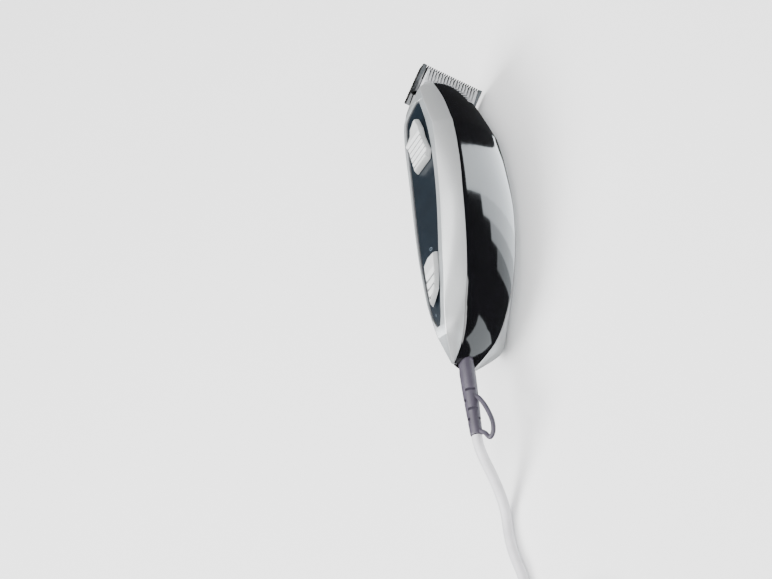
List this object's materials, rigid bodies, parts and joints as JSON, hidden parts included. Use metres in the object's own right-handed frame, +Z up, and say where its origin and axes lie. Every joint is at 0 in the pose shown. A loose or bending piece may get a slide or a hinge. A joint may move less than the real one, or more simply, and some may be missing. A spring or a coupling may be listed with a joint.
{
  "type": "hair clipper",
  "caption": "Corded hair clipper with a toothed blade set, taper and power sliders, a ribbed strain relief with a hanging loop, and its lead folded in a tied hank behind it.",
  "frame": {"origin": "middle of the clipper's box, on the surface that its right side rests on", "axes": "+X from the tail to the blade, -Y out of the back of the grip, +Z up, towards the side with the sliders"},
  "size_m": [0.5153, 0.0502, 0.053],
  "materials": {
    "housing_black": "high gloss",
    "silver_shell": "silver lacquer",
    "navy_panel": "satin",
    "blade_steel": "ground",
    "nylon": "moulded",
    "copper_winding": "enamelled wire",
    "core_iron": "laminated",
    "lead_blue": "satin",
    "lead_brown": "satin",
    "relief_rubber": "satin",
    "cord_jacket": "satin"
  },
  "bodies": {
    "housing": {"rear_cover": "housing_black", "belly_housing": "housing_black", "blade_mount": "housing_black", "switch_body": "housing_black", "left_side_frame": "silver_shell", "right_side_frame": "silver_shell", "left_panel": "navy_panel", "right_panel": "navy_panel", "fixed_blade": "blade_steel", "blade_screw_1": "blade_steel", "blade_screw_2": "blade_steel", "arm_pin": "blade_steel", "spring_outer": "blade_steel", "spring_inner": "blade_steel", "housing_screw_1": "blade_steel", "housing_screw_2": "blade_steel", "housing_screw_3": "blade_steel", "housing_screw_4": "blade_steel", "plug_pin_1": "blade_steel", "plug_pin_2": "blade_steel", "coil_bobbin": "nylon", "spring_post": "nylon", "terminal_block": "nylon", "cord_clamp": "nylon", "screw_pillar_1": "nylon", "screw_pillar_2": "nylon", "screw_pillar_3": "nylon", "screw_pillar_4": "nylon", "coil_winding": "copper_winding", "stator_core": "core_iron", "pivot_bracket": "core_iron", "lead_to_coil": "lead_blue", "lead_to_switch": "lead_brown", "strain_relief": "relief_rubber", "cord": "cord_jacket", "cord_tail": "cord_jacket", "cord_hank": "cord_jacket", "cord_tie": "cord_jacket", "plug_body": "cord_jacket"},
    "taper_control": {"taper_slider": "silver_shell", "taper_cam": "blade_steel"},
    "power_control": {"power_slider": "silver_shell", "switch_fork": "nylon"},
    "carriage": {"cutter_carriage": "nylon", "tension_spring": "blade_steel"},
    "cutter_body": {"cutter": "blade_steel", "cutter_guide": "nylon"},
    "arm": {"vibrating_arm": "core_iron", "armature": "core_iron", "drive_finger": "blade_steel"}
  },
  "joints": [
    {"name": "taper_slide", "type": "slide", "parent": "housing", "child": "taper_control", "axis": [1, 0, 0], "range_m": [-0.006, 0]},
    {"name": "power_slide", "type": "slide", "parent": "housing", "child": "power_control", "axis": [1, 0, 0], "range_m": [0, 0.0045]},
    {"name": "cutter_shift", "type": "slide", "parent": "housing", "child": "carriage", "axis": [0.7193, -0.6947, 0], "range_m": [-0.00125, 0.00001]},
    {"name": "arm_swing", "type": "hinge", "parent": "housing", "child": "arm", "pos_m": [-0.01665, -0.0022, 0.0373], "axis": [0, -1, 0], "range_deg": [-0.8, 0.8], "stiffness_Nm_per_rad": 10, "deforming": ["spring_outer", "spring_inner"]},
    {"name": "cutter_slide", "type": "slide", "parent": "carriage", "child": "cutter_body", "axis": [0, 0, 1], "range_m": [-0.0016, 0.0016]}
  ],
  "couplings": [
    {"joint": "cutter_shift", "follows": "taper_slide", "ratio": 0.2},
    {"joint": "cutter_slide", "follows": "arm_swing", "m_per_rad": 0.111}
  ]
}
